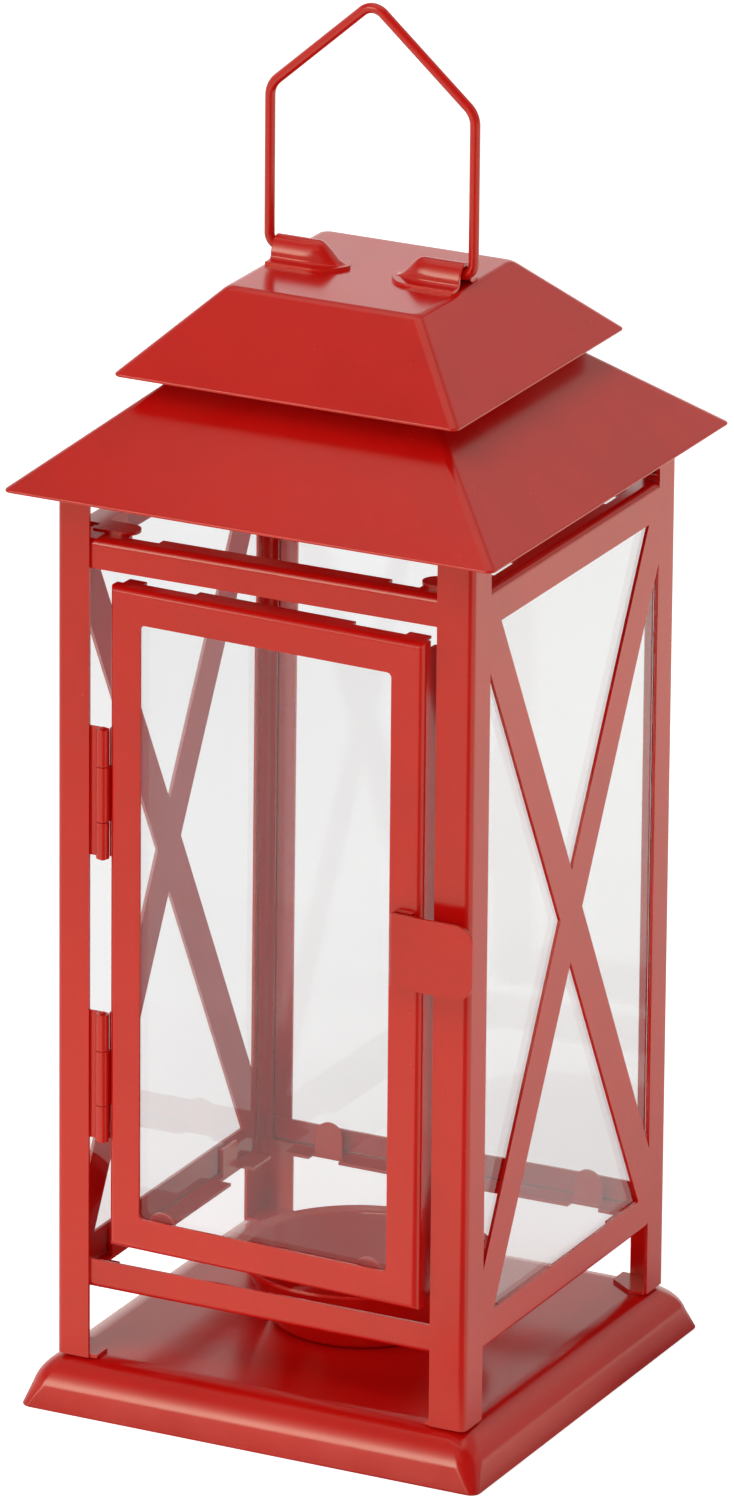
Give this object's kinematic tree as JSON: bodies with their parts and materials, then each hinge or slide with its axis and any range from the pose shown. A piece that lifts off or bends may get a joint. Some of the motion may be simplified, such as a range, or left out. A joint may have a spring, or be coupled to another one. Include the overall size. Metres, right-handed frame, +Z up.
{
  "type": "candle lantern",
  "caption": "Square sheet-steel candle lantern with glass panes, X-braced sides, a hinged front door, a tiered vented roof and a folding wire handle.",
  "frame": {"origin": "centre of the base, on the plane it stands on", "axes": "+Z up, +X right along the front, +Y towards the back; the door faces -Y"},
  "size_m": [0.129, 0.129, 0.3453],
  "materials": {
    "red_enamel": "satin red enamel over sheet steel",
    "clear_glass": "clear float glass"
  },
  "bodies": {
    "lantern": {"base_tray": "red_enamel", "candle_dish": "red_enamel", "side_panel_left": "red_enamel", "side_panel_right": "red_enamel", "front_top_rail": "red_enamel", "front_bottom_rail": "red_enamel", "rear_top_rail": "red_enamel", "rear_bottom_rail": "red_enamel", "glass_left": "clear_glass", "glass_right": "clear_glass", "glass_rear": "clear_glass", "hinge_upper_frame_leaf": "red_enamel", "hinge_upper_pin": "red_enamel", "hinge_lower_frame_leaf": "red_enamel", "hinge_lower_pin": "red_enamel", "roof_lower": "red_enamel", "vent_collar": "red_enamel", "roof_cap": "red_enamel", "handle_ear_left": "red_enamel", "handle_ear_right": "red_enamel"},
    "door": {"door_frame": "red_enamel", "glass_door": "clear_glass", "door_latch": "red_enamel", "hinge_upper_door_leaf": "red_enamel", "hinge_lower_door_leaf": "red_enamel"},
    "handle": {"handle_wire": "red_enamel"}
  },
  "joints": [
    {"name": "door_hinge", "type": "hinge", "parent": "lantern", "child": "door", "pos_m": [-0.0425, -0.055, 0.1222], "axis": [0, 0, -1], "range_deg": [-2.35, 165]},
    {"name": "handle_swing", "type": "hinge", "parent": "lantern", "child": "handle", "pos_m": [0, 0, 0.2821], "axis": [1, 0, 0], "range_deg": [-95, 95]}
  ]
}
